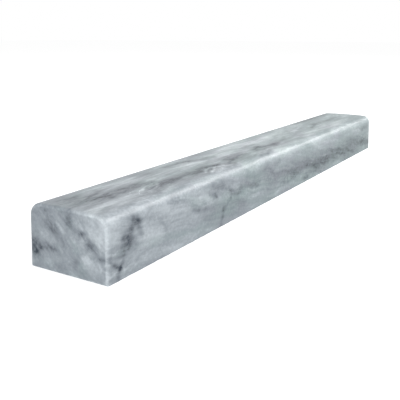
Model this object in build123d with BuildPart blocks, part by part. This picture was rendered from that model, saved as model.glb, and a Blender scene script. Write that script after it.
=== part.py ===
from build123d import *
import os

# A pencil liner: a narrow trim bar of marble, sawn from slab, with its face polished and its long top
# edges rounded over. It lies on its sawn bedding face, X along the bar, Y across it and Z up, with the
# origin at the middle of the bedding face. All sizes are in millimetres.

# Sawn size, 12 x 1 1/2 x 1 inch stock
length = 305.0
width = 38.0
height = 25.0

# Polished section: the face rises a little to the middle and rolls over into the two sides
crown = 0.5
edge_radius = 5.0

# Easing of the edges: rubbed round at the two ends, a small bevel round the bedding face
end_arris = 1.0
base_arris = 0.3

with BuildPart() as pencil_liner:
    with BuildSketch(Plane.YZ) as section:
        with BuildLine():
            face = ThreePointArc((-width / 2, height - crown), (0, height), (width / 2, height - crown))
            Polyline(face @ 0, (-width / 2, 0), (width / 2, 0), face @ 1)
        make_face()
        fillet(section.vertices().group_by(Axis.Y)[-1], edge_radius)
    extrude(amount=length / 2, both=True)

    # The saw leaves each end square, so its edges are eased from one side over the face to the other
    end_outlines = pencil_liner.faces().filter_by(Axis.X).edges()
    fillet(end_outlines.filter_by_position(Axis.Z, 0, height, inclusive=(False, True)), end_arris)
    bedding_face = pencil_liner.faces().sort_by(Axis.Z)[0]
    chamfer(bedding_face.edges(), base_arris)

pencil_liner.part.label = "pencil_liner"

os.makedirs("parts", exist_ok=True)
export_step(pencil_liner.part, "parts/pencil_liner.step")
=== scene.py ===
import math

import bpy
import numpy as np
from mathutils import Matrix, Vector


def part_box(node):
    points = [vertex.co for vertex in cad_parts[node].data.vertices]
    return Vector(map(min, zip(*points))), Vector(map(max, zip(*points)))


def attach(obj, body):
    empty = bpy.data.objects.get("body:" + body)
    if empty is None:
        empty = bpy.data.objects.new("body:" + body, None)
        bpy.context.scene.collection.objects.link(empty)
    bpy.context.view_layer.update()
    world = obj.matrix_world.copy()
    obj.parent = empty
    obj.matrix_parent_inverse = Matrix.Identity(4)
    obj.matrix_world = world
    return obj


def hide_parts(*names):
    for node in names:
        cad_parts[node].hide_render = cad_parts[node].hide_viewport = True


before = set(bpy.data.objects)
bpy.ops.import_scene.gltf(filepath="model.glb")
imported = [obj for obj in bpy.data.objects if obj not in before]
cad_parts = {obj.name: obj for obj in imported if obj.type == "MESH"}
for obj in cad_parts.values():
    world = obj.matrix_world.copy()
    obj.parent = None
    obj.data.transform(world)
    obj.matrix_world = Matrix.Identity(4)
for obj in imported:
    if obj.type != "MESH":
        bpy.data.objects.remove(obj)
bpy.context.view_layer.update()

# The liner: one bar of grey marble, sawn from slab and rounded over along its two long top edges.
# Its face, sides and ends are polished, the ends' edges are rubbed by hand, and the bedding face
# is left as the saw cut it.
MM = 0.001
low_corner, high_corner = (np.array(corner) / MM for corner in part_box("pencil_liner"))
length, width, height = high_corner - low_corner
edge_radius = 5.0
crown = 0.5
end_arris = 1.0
base_arris = 0.3
bruise_share = 0.5
vein_depth = 6.0

# Pale wear and a painted highlight on the ends' rubbed edges reach this far in from an end and hide half of
# a vein.  They are full at the front, have a smaller share at the middle of the width and the smallest at
# the back, and fall from 1 to 0 over the spread's share of the width where nothing stops them.
wear_and_highlight_reach = 1.4
wear_and_highlight_hides = 0.5
wear_and_highlight_middle = 0.45
wear_and_highlight_back = 0.25
wear_and_highlight_spread = 0.6

# The grain starts this deep under the face and comes in over grain_fade, and over grain_end_fade at the ends
grain_depth = 6.0
grain_fade = 5.0
grain_end_fade = 3.0

# How finely the mesh is cut: the step along and round the bar in mm, how many steps the round places and the
# ends have, and the angle in degrees past which an edge stays crisp
step = 0.7
shoulder_steps = 16
arris_steps = 6
end_rings = 28
crisp_angle = 32


def section(inset, base_lift, bevel):
    """The bar's outline across its length, for a column of stations at once.
    It runs from the base up one side, round the shoulder, over the crown and down the other side: straight
    lines for base, bevels and sides, arcs about fixed centres for shoulders and crown.  A station that is
    inset has the same arcs with smaller radii and its sides moved in, which is the outline's own offset."""
    crown_radius = (width**2 / 4 + crown**2) / (2 * crown)
    crown_centre = height - crown_radius
    centre_y = width / 2 - edge_radius
    centre_z = crown_centre + math.sqrt((crown_radius - edge_radius) ** 2 - centre_y**2)
    meet = math.atan2(centre_y, centre_z - crown_centre)
    half = width / 2 - inset
    rise = np.linspace(0, 1, int(centre_z / step))
    side_y = half + 0 * rise
    side_z = base_lift + bevel + (centre_z - base_lift - bevel) * rise
    turn = np.linspace(math.pi / 2, meet, shoulder_steps + 1)[1:]
    shoulder_y = centre_y + (edge_radius - inset) * np.sin(turn)
    shoulder_z = centre_z + (edge_radius - inset) * np.cos(turn)
    swing = np.linspace(meet, 0, int(width / 2 / step))[1:]
    crown_y = (crown_radius - inset) * np.sin(swing)
    crown_z = crown_centre + (crown_radius - inset) * np.cos(swing)
    across = np.linspace(0, 1, int(width / 2 / step))[:-1]
    base_y = (half - bevel) * across
    base_z = base_lift + 0 * base_y
    right_y = np.hstack([base_y, half - bevel, side_y, shoulder_y, crown_y])
    right_z = np.hstack([base_z, base_lift + 0 * bevel, side_z, shoulder_z, crown_z])
    return np.hstack([right_y, -right_y[:, -2:0:-1]]), np.hstack([right_z, right_z[:, -2:0:-1]])


# How the marble is marked on each polished face: the shade of a vein (below 0 darker, above 0 paler), half
# its width and the line it follows, in mm.  A few pale lines are painted highlights along the rounded edges
# and at the near end's corner.  Lines are (Y, Z) on the ends, (X, Z) on the sides and (X, Y) on the face.
near_end_veins_and_highlights = [
    (-0.52, 2.2, [(18.8, 10.8), (17.8, 8.2), (16.2, 6.6)]),
    (-0.40, 1.0, [(15.5, 7), (12.8, 8.4), (10, 9.3), (7.5, 8.2)]),
    (-0.22, 0.7, [(16, 10.2), (15, 11.4)]),
    (-0.45, 0.7, [(13.2, 22.9), (10.5, 22.5)]),
    (-0.18, 2.4, [(10.5, 21.5), (9.5, 18), (7, 17)]),
    (-0.18, 1.7, [(7, 17.2), (4.5, 15.4), (2, 13.6), (0.5, 12)]),
    (-0.18, 0.8, [(12.3, 16), (11, 16.6)]),
    (-0.18, 1.7, [(0.3, 23.5), (-1, 21.5)]),
    (-0.42, 1.1, [(-0.8, 21.8), (-2.3, 19.2), (-4.5, 17.5), (-7, 16.7)]),
    (-0.40, 1.2, [(-7, 16.7), (-8.2, 15), (-10, 13.3), (-11.6, 12.4)]),
    (-0.46, 1.7, [(-11, 11.6), (-13, 12.2)]),
    (-0.38, 1.0, [(-14, 12), (-14.6, 10.6), (-16.6, 9.6)]),
    (-0.18, 0.8, [(-12.8, 14), (-15, 12.6)]),
    (-0.24, 0.8, [(-3.4, 16), (-5, 15)]),
    (-0.12, 1.0, [(6.2, 1.8), (3, 2.8)]),
    (-0.12, 1.2, [(-3.6, 4.4), (-5, 7.2)]),
    (-0.08, 3.5, [(5, 9), (-2, 7)]),
    # Pale stone and a painted highlight at the end's front top corner, and a painted highlight along its top
    # edge
    (0.46, 3.2, [(-13.5, 22.5), (-17.5, 21), (-16, 18)]),
    (0.14, 1.2, [(12, 24.6), (0, 24.6), (-14, 24.2)]),
    (0.20, 1.0, [(7.4, 24), (5.5, 20.2), (3.5, 18), (2.5, 16.8)]),
    (0.16, 1.6, [(12.5, 13.4), (8, 11)]),
    (0.15, 2.0, [(-7.5, 7.2), (-12, 4)]),
    (0.28, 0.8, [(18.4, 4.4), (17.8, 2)]),
]
front_veins_and_highlights = [
    (-0.60, 0.8, [(-151.8, 9.6), (-149.3, 7), (-146.8, 4.4)]),
    (-0.34, 1.0, [(-146.6, 4), (-147, 0.3)]),
    (-0.34, 0.7, [(-143.4, 8), (-144.6, 6), (-146.4, 4)]),
    (-0.34, 2.3, [(-144.4, 10.4), (-142.6, 12), (-141, 13.6)]),
    (-0.28, 1.4, [(-143.6, 14.4), (-141, 10.8)]),
    (-0.44, 1.7, [(-139.6, 18.2), (-137.6, 19.8), (-135.6, 20.2)]),
    (-0.28, 1.4, [(-138.4, 21.6), (-135.4, 18)]),
    (-0.16, 1.4, [(-141, 14), (-138.6, 18)]),
    (-0.22, 1.2, [(-135.5, 19), (-133.6, 15)]),
    (-0.14, 1.6, [(-139.2, 14), (-137, 10)]),
    (-0.14, 0.9, [(-121, 15), (-118, 12)]),
    (-0.22, 0.9, [(-116, 22.3), (-108, 21)]),
    (-0.14, 1.6, [(-113, 20.5), (-100, 17), (-88, 12)]),
    (-0.26, 1.0, [(-97.5, 14.2), (-94, 13.4)]),
    (-0.28, 1.6, [(-81, 20.4), (-73, 19)]),
    (-0.20, 0.7, [(-85, 17.4), (-80, 15.6)]),
    (-0.36, 0.9, [(-79.6, 16.4), (-78, 15.6)]),
    (-0.26, 0.9, [(-73, 18), (-67, 16.5), (-65, 14), (-65.5, 11)]),
    (-0.20, 0.8, [(-65.8, 10.4), (-69, 8.8), (-72.5, 7.6)]),
    (-0.10, 1.0, [(-72.5, 7.6), (-74, 4)]),
    (-0.22, 1.3, [(-73.5, 4), (-74.5, 0.4)]),
    (-0.30, 1.7, [(-62.5, 13.2), (-58, 12.4)]),
    (-0.08, 6.0, [(-84, 9), (-55, 9)]),
    (-0.05, 9.0, [(-55, 10), (0, 10)]),
    (-0.11, 11.0, [(15, 9), (152, 9)]),
    (-0.22, 1.6, [(-55, 14.5), (-45, 13), (-37, 13)]),
    (-0.22, 1.2, [(-31, 18.6), (-22, 18)]),
    (-0.14, 1.0, [(-22.5, 16.6), (-19, 14.4)]),
    (-0.20, 0.9, [(-18, 18.4), (-12, 19)]),
    (-0.16, 1.8, [(-10, 5), (-6, 6.6), (0, 7.2), (10, 6)]),
    (-0.14, 5.0, [(-25, 10), (40, 8.5), (152, 7)]),
    (-0.08, 1.6, [(19, 9), (28, 9)]),
    (-0.28, 1.2, [(24.5, 2), (29, 1.4)]),
    (-0.20, 3.0, [(40, 8), (46, 6.6), (56, 6.8), (60, 8)]),
    (-0.08, 2.6, [(64, 9.2), (72, 9)]),
    (-0.09, 2.6, [(79, 8), (89, 7)]),
    (-0.07, 2.6, [(94, 6), (110, 5)]),
    (-0.06, 5.5, [(75, 8), (150, 9.5)]),
    (-0.24, 1.6, [(132, 18), (146, 17.4)]),
    (-0.16, 3.0, [(134, 9.2), (151, 4.6)]),
    (0.06, 8.0, [(-130, 10), (-98, 9)]),
    (0.08, 2.6, [(-130, 12), (-122, 9.4)]),
    (0.12, 0.8, [(-92.5, 18.2), (-86, 17)]),
    (0.10, 0.7, [(-88, 16), (-82, 14)]),
    (0.10, 0.5, [(-66, 15.6), (-58, 15.2)]),
    (0.14, 1.2, [(-16, 2.4), (-9, 3.6), (10, 3.8), (17, 4.6)]),
    (0.20, 1.5, [(18, 6), (24, 6.6)]),
    (0.12, 1.6, [(75, 2.6), (86, 2.6)]),
    (0.14, 1.4, [(129, 3), (140, 1.6)]),
    (0.08, 3.0, [(-10, 18), (50, 17.5), (110, 17)]),
    # A painted highlight: a pale soft strip along the top of the front, under the rounded edge
    (0.10, 2.5, [(-60, 22), (60, 22), (150, 21.5)]),
]
face_veins_and_highlights = [
    (-0.25, 2.6, [(-152.5, 1.2), (-145, 0.5), (-138, 0.8), (-131, -0.4)]),
    (-0.05, 7.0, [(-150, 4), (-130, 2)]),
    (-0.22, 1.2, [(-136.5, -0.4), (-132, -0.4)]),
    (-0.30, 1.2, [(-142.8, 7.6), (-138, 8.8)]),
    (-0.27, 1.2, [(-136.5, 4.4), (-128, 6.4)]),
    (-0.18, 1.6, [(-132, -2.6), (-122, -3.6)]),
    (-0.12, 1.4, [(-148, -5), (-133, -4.4)]),
    (-0.16, 0.9, [(-152, -13.4), (-144, -11.6)]),
    (-0.16, 0.9, [(-146, -13.6), (-136, -14.4)]),
    (-0.20, 2.4, [(-152, 8), (-146, 11)]),
    (-0.16, 1.0, [(-122, 0.4), (-116, -1.6)]),
    (-0.22, 1.1, [(-117, 0.4), (-110, 1)]),
    (-0.22, 1.6, [(-110.5, -1.4), (-105, -5)]),
    (-0.11, 4.5, [(-119, -3), (-108, -5)]),
    (-0.30, 1.9, [(-119, -13.4), (-114, -12.6)]),
    (-0.26, 1.3, [(-114, -8.8), (-112, -7)]),
    (-0.38, 2.2, [(-107, -9.6), (-102, -8.6), (-95, -7)]),
    (-0.20, 1.3, [(-95, -8.4), (-88, -8), (-82, -6.4)]),
    (-0.38, 2.0, [(-81, -9.6), (-74, -7), (-69, -7)]),
    (-0.22, 0.9, [(-78, -13), (-70, -11)]),
    (-0.32, 1.2, [(-66.5, -10), (-61, -7.6)]),
    (-0.26, 1.6, [(-60, -9), (-54, -10.6)]),
    (-0.22, 0.8, [(-61, -15), (-50, -13.4)]),
    (-0.30, 1.2, [(-77, 10), (-62, 8.4)]),
    (-0.32, 1.8, [(-60.5, 7), (-54, 4.6), (-47, 3)]),
    (-0.24, 1.8, [(-57, 13.5), (-47, 12.5)]),
    (-0.14, 1.8, [(-99, 12), (-93, 9)]),
    (-0.30, 1.5, [(-51, -12), (-44, -9)]),
    (-0.42, 2.2, [(-46, -7), (-33, -7)]),
    (-0.20, 1.8, [(-43, -3), (-37, -4)]),
    (-0.24, 1.7, [(-43, -12), (-35, -11.4)]),
    (-0.28, 0.9, [(-34, -14.4), (-28, -13.6)]),
    (-0.34, 0.9, [(-27, -16.2), (-22, -15.4)]),
    (-0.36, 1.0, [(-20, -15.4), (-13, -14.2)]),
    (-0.26, 1.6, [(-18, -8), (-12, -10)]),
    (-0.36, 1.2, [(-16.5, -5.6), (-9, -4.6)]),
    (-0.40, 1.8, [(-8.5, -6.4), (-2, -7.8), (4, -8.6)]),
    (-0.16, 1.1, [(-16, 0.4), (-4, 1)]),
    (-0.15, 1.2, [(18, -6.6), (29, -4)]),
    (-0.13, 1.2, [(24, 1), (37, 3.4)]),
    (-0.16, 1.6, [(39, -5), (52, -4)]),
    (-0.16, 1.0, [(60, 0.6), (71, 1.6)]),
    (-0.30, 1.3, [(72, -3.4), (85, -1.4)]),
    (-0.36, 2.0, [(88, 0.4), (98, 0), (110, 0)]),
    (-0.30, 1.4, [(119, -0.8), (130, 0)]),
    (-0.16, 1.0, [(116, -5), (127, -4.6)]),
    (-0.46, 2.4, [(84, 14), (105, 13.4), (142, 13.2)]),
    (0.12, 4.0, [(-128, 10), (-106, 8)]),
    (0.16, 2.2, [(-110, 5), (-100, 0)]),
    (0.14, 4.0, [(-92, 5), (-65, 3)]),
    (0.12, 2.5, [(-146, -8.6), (-131, -9)]),
    (0.13, 1.8, [(-131, -16.6), (-122, -14)]),
    (0.16, 1.4, [(-117, -16.6), (-108, -14)]),
    (0.34, 0.45, [(-119, -7.6), (-115, -5.4), (-109, -4.4), (-104, -5)]),
    (0.30, 0.45, [(-117, -9.4), (-113, -9.4), (-108, -8), (-105, -6.4)]),
    (0.20, 0.4, [(-114, -7.4), (-109, -6.2)]),
    (0.42, 0.55, [(-77, -12), (-73, -9.6), (-68, -9), (-65.5, -10.4), (-69, -12.4), (-74, -13.4)]),
    (0.24, 0.5, [(-66, -10), (-60, -10.6), (-57, -13)]),
    (0.16, 3.2, [(20, 5.6), (33, 8.6)]),
    (0.16, 3.2, [(-22, 9), (2, 5)]),
    (0.14, 9.0, [(-50, 7), (15, 6)]),
    (0.08, 3.0, [(-12, -14.4), (24, -16.6)]),
    (0.13, 4.0, [(52, -14), (92, -11)]),
    (0.10, 3.0, [(100, -10), (122, -12)]),
    # A painted highlight: a pale strip along the front edge of the face, beside the rounded edge
    (0.12, 2.2, [(-150, -17), (-60, -17), (0, -17)]),
    (0.03, 12.0, [(40, 0), (150, 0)]),
]
back_veins = [
    (-0.46, 2.2, [(-152.5, 8.5), (-146, 7), (-138, 8.5)]),
    (-0.28, 1.4, [(-138, 8.5), (-128, 5), (-121, 6)]),
    (-0.28, 1.8, [(-112, 21), (-98, 17), (-84, 15), (-72, 10)]),
    (-0.32, 2.0, [(-60, 8), (-45, 5), (-25, 6.5)]),
    (-0.22, 1.3, [(-30, 19), (-12, 16), (5, 17)]),
    (-0.40, 2.3, [(15, 10), (32, 12), (50, 9.5), (66, 11)]),
    (-0.24, 1.2, [(62, 4), (80, 6.5), (92, 4)]),
    (-0.32, 1.8, [(88, 20), (110, 16.5), (134, 17), (152, 14)]),
    (0.16, 4.0, [(-110, 8), (-85, 5)]),
    (0.18, 3.0, [(-20, 11), (5, 9)]),
    (0.16, 4.0, [(95, 8), (130, 6)]),
]
far_end_veins = [
    (-0.34, 1.8, [(-19, 6), (-12, 7.5), (-6, 11), (1, 13)]),
    (-0.34, 1.3, [(2, 24), (7, 19), (11, 12), (19, 9)]),
    (-0.20, 2.4, [(-14, 21), (-6, 18)]),
    (0.18, 2.0, [(12, 20), (16, 17)]),
    (0.14, 2.4, [(2, 5), (10, 4)]),
]
# Places on the face where thin white threads of calcite net the stone, given in the same way with their
# strength
thread_nets = [
    (1.0, 5.0, [(-119, -9), (-110, -7)]),
    (0.9, 3.5, [(-78, -10.5), (-70, -9.5)]),
    (0.8, 3.0, [(-66, -12), (-60, -13)]),
    (0.5, 4.0, [(-130, -15), (-122, -16)]),
    (0.5, 5.0, [(-100, -15), (-70, -15)]),
    (0.5, 3.5, [(-12, -12), (4, -11)]),
]


def marked(flat, veins, along_counts):
    """The summed shades of a face's veins at points in the plane of that face.  Each vein is full on its
    line, which two sine waves sway a little, and dies away from it as a bell curve, to a half at its
    half-width.  Where distances along the face count for less, the veins run out further along it."""
    # Each wave: how far in mm it carries a line, then its turning per mm and its start, for the sway along
    # the face and for the sway across it
    crosswise = flat[:, ::-1]
    swayed = flat
    for reach, rates, starts in ((0.5, (0.9, 0.33), (0.3, 1.7)), (0.3, (2.1, 0.8), (2.2, 0.6))):
        swayed = swayed + reach * np.sin(rates * crosswise + starts)
    swayed = swayed * [along_counts, 1]
    total = np.zeros(len(flat))
    for shade, half, line in veins:
        corners = np.array(line, float) * [along_counts, 1]
        apart = np.full(len(flat), np.inf)
        for start, end in zip(corners[:-1], corners[1:]):
            run = end - start
            along = np.clip((swayed - start) @ run / (run @ run), 0, 1)
            apart = np.minimum(apart, np.linalg.norm(swayed - start - along[:, None] * run, axis=1))
        total += shade * 0.5 ** ((apart / half) ** 2)
    return total


def liner_mesh():
    """Carries the section along X.  Stations a step apart make the body, a quarter circle of stations rubs
    each end's edge, and rings that shrink towards the middle of the end close it with a single point."""
    bend = np.linspace(0, math.pi / 2, arris_steps + 1)
    body_end = length / 2 - end_arris
    body = np.linspace(-body_end, body_end, int(length / step))
    right = body_end + end_arris * np.sin(bend[1:])
    x = np.hstack([-right[::-1], body, right])
    rub = end_arris * (1 - np.cos(bend[1:]))
    inset = np.hstack([rub[::-1], 0 * body, rub])[:, None]
    from_end = (length / 2 - abs(x))[:, None]

    # Small bruises, the product of three sine waves, make the bevel of the bedding face wider and narrower.
    # At the ends the base itself lifts to make the bevel.
    bruise = (np.sin(0.91 * x + 0.4) * np.sin(0.37 * x) * np.sin(0.13 * x + 1.1))[:, None]
    bevel = base_arris * (1 + bruise_share * bruise)
    y, z = section(inset, np.clip(base_arris - from_end, 0, None), bevel)
    x = np.broadcast_to(x[:, None], y.shape)
    body_points = np.stack([x, y, z], -1)

    shrink = np.linspace(1, 0, end_rings + 1)[1:-1, None, None]
    middle = np.array([0, 0, height / 2])
    caps = []
    for rim in (body_points[0], body_points[-1]):
        centre = middle + [rim[0, 0], 0, 0]
        caps.append((centre + shrink * (rim - centre), centre))
    rings = np.concatenate([caps[0][0][::-1], body_points, caps[1][0]])
    points = np.vstack([rings.reshape(-1, 3), caps[0][1], caps[1][1]])

    n_rings, n_round = rings.shape[:2]
    here = np.arange(n_rings * n_round).reshape(n_rings, n_round)
    beside = np.roll(here, -1, 1)
    quads = np.stack([here[:-1], beside[:-1], beside[1:], here[1:]], -1).reshape(-1, 4)
    low_centre, high_centre = n_rings * n_round, n_rings * n_round + 1
    low_fan = np.stack([np.full(n_round, low_centre), beside[0], here[0]], -1)
    high_fan = np.stack([np.full(n_round, high_centre), here[-1], beside[-1]], -1)
    mesh = bpy.data.meshes.new("pencil_liner_polished")
    mesh.from_pydata(points * MM, [], quads.tolist() + low_fan.tolist() + high_fan.tolist())
    mesh.shade_smooth()
    mesh.set_sharp_from_angle(angle=math.radians(crisp_angle))

    # Pale wear and a painted highlight: palest on the ends' front upright edges, fading over the face to the
    # back
    wear_and_highlight = np.zeros(rings.shape[:2])
    wear_and_highlight[end_rings - 1 : 1 - end_rings] = np.clip(1 - from_end / wear_and_highlight_reach, 0, 1)
    wear_and_highlight *= np.clip(wear_and_highlight_middle - rings[..., 1] / (wear_and_highlight_spread * width), wear_and_highlight_back, 1)
    wear_and_highlight = np.append(wear_and_highlight.ravel(), [0, 0])

    # The grain shows on the face alone, and fades before the ends
    grained = np.clip((points[:, 2] - height + grain_depth) / grain_fade, 0, 1)
    grained *= np.clip((length / 2 - abs(points[:, 0])) / grain_end_fade, 0, 1)

    # Each face: its axis and where it stands on it, how strong its veins are, how much a distance along it
    # counts, and the veins.  They sink into the stone as a bell curve of vein_depth, and share it with the
    # next face's.
    faces = (
        (0, -length / 2, 0.8, 1, near_end_veins_and_highlights),
        (0, length / 2, 0.8, 1, far_end_veins),
        (1, -width / 2, 1.1, 1, front_veins_and_highlights),
        (1, width / 2, 1.0, 1, back_veins),
        (2, height, 1.15, 0.5, face_veins_and_highlights),
    )
    nearness = np.exp([-(((points[:, face[0]] - face[1]) / vein_depth) ** 2) for face in faces])
    shares = nearness / np.maximum(1, nearness.sum(0))
    veining_and_highlights = np.zeros(len(points))
    for share, (axis, _, strength, along_counts, veins) in zip(shares, faces):
        veining_and_highlights += strength * share * marked(np.delete(points, axis, 1), veins, along_counts)
    skin = {
        "wear_and_highlight": wear_and_highlight,
        "grained": grained,
        "veining_and_highlights": veining_and_highlights * (1 - wear_and_highlight_hides * wear_and_highlight),
        "threads": shares[-1] * marked(points[:, :2], thread_nets, 1),
    }
    for name, values in skin.items():
        mesh.attributes.new(name, "FLOAT", "POINT").data.foreach_set("value", values.astype(np.float32))
    return mesh


def colour(code):
    """An sRGB hex code as the linear colour that a shader takes."""
    c = np.array([int(code[i : i + 2], 16) for i in (1, 3, 5)]) / 255
    return (*np.where(c <= 0.04045, c / 12.92, ((c + 0.055) / 1.055) ** 2.4), 1.0)


def add(tree, kind, links=(), **settings):
    """Adds one shader node: settings are put on the node itself, and links gives its inputs, by name or
    place, each as a socket to link from or a plain value."""
    made = tree.nodes.new("ShaderNode" + kind)
    for name, value in settings.items():
        setattr(made, name, value)
    for place, source in dict(links).items():
        if isinstance(source, bpy.types.NodeSocket):
            tree.links.new(source, made.inputs[place])
        else:
            made.inputs[place].default_value = source
    return made


def polished_marble():
    """Grey marble, sawn from slab and polished: clouds of slate grey and pale calcite drawn out along the
    bedding, fine crystal mottling and a soft gloss.  The rubbed edges are painted paler, as wear and as a
    painted highlight, and the bedding face is matt and a little paler, with the arcs that the saw blade
    left."""
    material = bpy.data.materials.new("polished_grey_marble")
    material.use_nodes = True
    tree = material.node_tree
    tree.nodes.clear()
    place = add(tree, "TexCoord").outputs["Object"]
    mm = add(tree, "VectorMath", {0: place, "Scale": 1 / MM}, operation="SCALE").outputs[0]

    # Folds of 24 mm carry the stone off by up to about 1.5 mm and slow bends of 40 mm by up to 3 mm.  Lumps
    # of 4 mm make the mottling and the flecks ragged, by up to about 1.5 mm.
    carried = []
    for size, reach, detail in ((24, 1.5, 2), (40, 3, 1), (4, 1.5, 4)):
        noise = add(tree, "TexNoise", {"Vector": mm, "Scale": 1 / size, "Detail": detail}, normalize=False)
        shift = {0: noise.outputs["Color"], 1: (reach,) * 3, 2: mm}
        carried.append(add(tree, "VectorMath", shift, operation="MULTIPLY_ADD").outputs[0])
    folded, bent, ragged = carried

    # The bedding's layers run along the bar, dip to the front and sink a little towards the far end.  The
    # grain that shows on the face runs from the back edge over to the front by 7 in 100.
    bedding = ((0.99, 0.08, -0.10), (0.0, -0.79, -0.61), (-0.13, 0.61, -0.78))
    grain = ((1.0, 0.0, 0.0), (0.07, 1.0, 0.0), (0.0, 0.0, 1.0))
    drawn_out = []
    for source, axes in ((folded, bedding), (bent, grain)):
        turned = []
        for axis in axes:
            part = add(tree, "VectorMath", {0: source, 1: axis}, operation="DOT_PRODUCT")
            turned.append(part.outputs["Value"])
        drawn_out.append(add(tree, "CombineXYZ", dict(enumerate(turned))).outputs[0])
    layers, streaks = drawn_out

    # Noise with lumps of these sizes in mm: along, down and through the bedding, or along, across and up.
    # The crystals, of about 1 mm, are drawn coarser than real ones so that they show.
    patterns = []
    for source, sizes, detail, detail_weight in (
        (layers, (60, 15, 7), 3, 0.5),
        (layers, (32, 6, 1.4), 4, 0.62),
        (streaks, (24, 2, 6), 3, 0.6),
        (ragged, (12, 2.2, 2.0), 4, 0.6),
        (ragged, (3.5, 1.6, 1.6), 3, 0.6),
        (mm, (1.3, 1.1, 1.1), 2, 0.6),
        (layers, (9, 6, 4), 2, 0.5),
        (layers, (30, 12, 7), 3, 0.5),
    ):
        scale = {0: source, 1: [1 / size for size in sizes]}
        scaled = add(tree, "VectorMath", scale, operation="MULTIPLY").outputs[0]
        noise = {"Vector": scaled, "Scale": 1, "Detail": detail, "Roughness": detail_weight}
        patterns.append(add(tree, "TexNoise", noise).outputs["Fac"])
    clouds, strokes, fibres, mottle, flecks, crystals, net, tint = patterns

    masks = []
    for name in ("veining_and_highlights", "threads", "wear_and_highlight", "grained"):
        masks.append(add(tree, "Attribute", attribute_name=name).outputs["Fac"])
    veining_and_highlights, threads, wear_and_highlight, grained = masks

    # A vein grows strong and weak with the strokes and flecks that it crosses.  Threads run where the net's
    # noise passes its middle value, and the stone is as sawn up to half the height of the bevel.
    net_middle, thread_width = 0.5, 0.012
    lively = add(tree, "Math", {0: strokes, 1: flecks}).outputs[0]
    on_thread = add(tree, "Math", {0: net, 1: net_middle, 2: thread_width}, operation="COMPARE").outputs[0]
    up = add(tree, "SeparateXYZ", {0: mm}).outputs["Z"]
    sawn = add(tree, "Math", {0: up, 1: base_arris / 2}, operation="LESS_THAN").outputs[0]

    # Tone, which is 1 for the whitest calcite and below 0 in the darkest veins.  Each layer turns a range of
    # its pattern into a range of tone, and counts as much as its mask says.
    tone = 0.0
    for pattern, low, high, low_tone, high_tone, mask in (
        (clouds, 0.25, 0.75, 0.30, 0.70, 1.0),
        (strokes, 0.25, 0.75, -0.10, 0.10, 1.0),
        (fibres, 0.3, 0.7, -0.12, 0.12, grained),
        (mottle, 0.25, 0.75, -0.08, 0.08, 1.0),
        (flecks, 0.25, 0.75, -0.05, 0.05, 1.0),
        (crystals, 0.25, 0.75, -0.07, 0.07, 1.0),
        (lively, 0.75, 1.25, 1.5, 0.7, veining_and_highlights),
        (on_thread, 0.0, 1.0, 0.0, 0.3, threads),
        # The ends' rubbed edges: pale wear and a painted highlight
        (mottle, 0.3, 0.7, 0.13, 0.27, wear_and_highlight),
        (sawn, 0.0, 1.0, 0.0, 0.12, 1.0),
    ):
        span = {"From Min": low, "From Max": high, "To Min": low_tone, "To Max": high_tone}
        layer = add(tree, "MapRange", {"Value": pattern, **span}).outputs[0]
        tone = add(tree, "Math", {0: layer, 1: mask, 2: tone}, operation="MULTIPLY_ADD").outputs[0]

    # Two greys, from darkest to palest: bluish slate, and sage, of which there is more towards the far end
    # and a little more on the face
    darkest, middle, palest = -0.3, 0.5, 1.0
    shade = add(tree, "MapRange", {"Value": tone, "From Min": darkest, "From Max": palest}).outputs[0]
    greys = []
    for codes in (("#2d3744", "#98a0a7", "#dbe3e8"), ("#2b3a42", "#94a2a5", "#d8e3e4")):
        bands = add(tree, "ValToRGB", {"Fac": shade})
        bands.color_ramp.elements.new((middle - darkest) / (palest - darkest))
        for element, code in zip(bands.color_ramp.elements, codes):
            element.color = colour(code)
        greys.append(bands.outputs["Color"])
    sage_per_mm, sage_on_face = 0.0012, 0.04
    along = add(tree, "SeparateXYZ", {0: streaks}).outputs["X"]
    drift = tint
    for where, weight in ((along, sage_per_mm), (grained, sage_on_face)):
        drift = add(tree, "Math", {0: where, 1: weight, 2: drift}, operation="MULTIPLY_ADD").outputs[0]
    sage = add(tree, "MapRange", {"Value": drift, "From Min": 0.38, "From Max": 0.62}).outputs[0]
    mixed = add(tree, "Mix", {"Factor": sage, "A": greys[0], "B": greys[1]}, data_type="RGBA")
    stone = mixed.outputs["Result"]

    # The polish is soft and varies a little with the mottling, and the saw cut is rougher by sawn_matt
    sawn_matt = 0.4
    gloss_span = {"From Min": 0.3, "From Max": 0.7, "To Min": 0.36, "To Max": 0.40}
    gloss = add(tree, "MapRange", {"Value": mottle, **gloss_span}).outputs[0]
    roughness = add(tree, "Math", {0: sawn, 1: sawn_matt, 2: gloss}, operation="MULTIPLY_ADD").outputs[0]

    # Saw marks: arcs about the middle of the blade, which ran past the back of the bar.  The wave texture's
    # rings lie tau / 20 apart at a scale of 1.
    blade_reach, mark_spacing, mark_depth = 170, 2.5, 0.08
    wave_spacing = math.tau / 20
    blade = add(tree, "Mapping", {"Vector": mm, "Location": (0, -blade_reach, 0)}).outputs[0]
    rings = {"Vector": blade, "Scale": wave_spacing / mark_spacing, "Distortion": 0.8, "Detail": 1}
    arcs = add(tree, "TexWave", rings, wave_type="RINGS", rings_direction="Z").outputs["Fac"]
    scored = add(tree, "Math", {0: arcs, 1: sawn}, operation="MULTIPLY").outputs[0]
    relief = add(tree, "Bump", {"Height": scored, "Distance": mark_depth * MM}).outputs[0]

    polish = {"Base Color": stone, "Roughness": roughness, "Normal": relief}
    shader = add(tree, "BsdfPrincipled", {**polish, "IOR": 1.5, "Specular IOR Level": 0.35})
    add(tree, "OutputMaterial", {"Surface": shader.outputs[0]})
    return material


liner = bpy.data.objects.new("pencil_liner_stone", liner_mesh())
bpy.context.scene.collection.objects.link(liner)
liner.data.materials.append(polished_marble())
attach(liner, "root")
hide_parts("pencil_liner")

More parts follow.
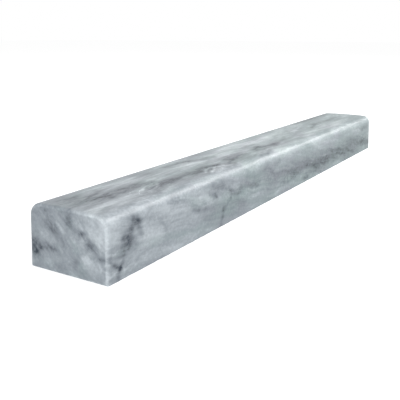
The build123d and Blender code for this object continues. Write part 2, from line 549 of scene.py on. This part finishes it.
# The floor: a plain white sheet that the bar lies on, 12 m wide so that its edges are far off.
# It is painted matt, is seen as white and keeps the bar's own shadow.
floor_half = 6.0
floor_mesh = bpy.data.meshes.new("floor")
corners = np.array([[-1, -1, 0], [1, -1, 0], [1, 1, 0], [-1, 1, 0]]) * floor_half
floor_mesh.from_pydata(corners, [], [(0, 1, 2, 3)])
floor = bpy.data.objects.new("floor", floor_mesh)
bpy.context.scene.collection.objects.link(floor)
floor_paint = bpy.data.materials.new("matt_white_paint")
floor_paint.use_nodes = True
tree = floor_paint.node_tree
tree.nodes.clear()
sheet = add(tree, "BsdfDiffuse", {"Color": colour("#f0f0f0")})


def seen_as(tree, plain, direct, mirrored):
    """A plain strength for the rays that carry light about, raised for what the camera sees direct and for
    what it sees mirrored in gloss or through glass."""
    path = add(tree, "LightPath").outputs
    rises = {"Is Camera Ray": direct, "Is Glossy Ray": mirrored, "Is Transmission Ray": mirrored}
    strength = plain
    for ray, rise in rises.items():
        raised = {0: path[ray], 1: rise, 2: strength}
        strength = add(tree, "Math", raised, operation="MULTIPLY_ADD").outputs[0]
    return strength


glow = add(tree, "Emission", {"Strength": seen_as(tree, plain=0.0, direct=0.55, mirrored=0.15)})
both = add(tree, "AddShader", {0: sheet.outputs[0], 1: glow.outputs[0]})
add(tree, "OutputMaterial", {"Surface": both.outputs[0]})
floor_mesh.materials.append(floor_paint)

# The light: a white room all round, soft boxes to the left, off the near end and off the front, and a tall
# strip of three boxes beyond the far end, brightest at its top, whose reflection draws the line along the
# rounded edge.
world = bpy.data.worlds.new("white_room")
bpy.context.scene.world = world
world.use_nodes = True
tree = world.node_tree
tree.nodes.clear()
room_strength = seen_as(tree, plain=0.5, direct=0.5, mirrored=0.5)
room = add(tree, "Background", {"Color": colour("#ffffff"), "Strength": room_strength})
add(tree, "OutputWorld", {"Surface": room.outputs[0]})


def soft_box(name, place, size, watts):
    """A flat lamp of a size in metres, at a place in metres and turned to face the bar."""
    lamp = bpy.data.lights.new(name, "AREA")
    lamp.shape = "RECTANGLE"
    lamp.size, lamp.size_y = size
    lamp.energy = watts
    made = bpy.data.objects.new(name, lamp)
    made.location = place
    made.rotation_euler = (-Vector(place)).to_track_quat("-Z", "Y").to_euler()
    bpy.context.scene.collection.objects.link(made)


soft_box("near_box", (-0.9, -0.35, 0.8), (0.8, 0.8), 1.8)
soft_box("end_box", (-1.2, -0.1, 0.25), (0.6, 0.5), 3.7)
soft_box("front_box", (-0.55, -0.75, 0.35), (0.6, 0.4), 1.2)
soft_box("strip_top", (0.86, -0.54, 0.86), (0.45, 0.36), 6.0)
soft_box("strip_middle", (1.2, -0.46, 0.54), (0.45, 0.36), 3.5)
soft_box("strip_foot", (1.46, -0.43, 0.16), (0.45, 0.30), 0.55)

# The camera: off the bar's near end, in front of it and above it, looking along the bar and partly across.
# It tilts down a little and shifts its picture for the rest, so that the bar's upright edges stay nearly
# upright.
camera_place = (-307.54, -152.72, 87.18)
camera_tilt = 6.22
camera_turn = 58.104
camera_data = bpy.data.cameras.new("camera")
camera = bpy.data.objects.new("camera", camera_data)
bpy.context.scene.collection.objects.link(camera)
bpy.context.scene.camera = camera
camera_data.sensor_width = 36
camera_data.lens = 54.83
camera_data.shift_y = -0.25
camera.location = Vector(camera_place) * MM
camera.rotation_euler = (math.radians(90 - camera_tilt), 0, math.radians(-camera_turn))

bpy.context.scene.view_settings.view_transform = "Standard"
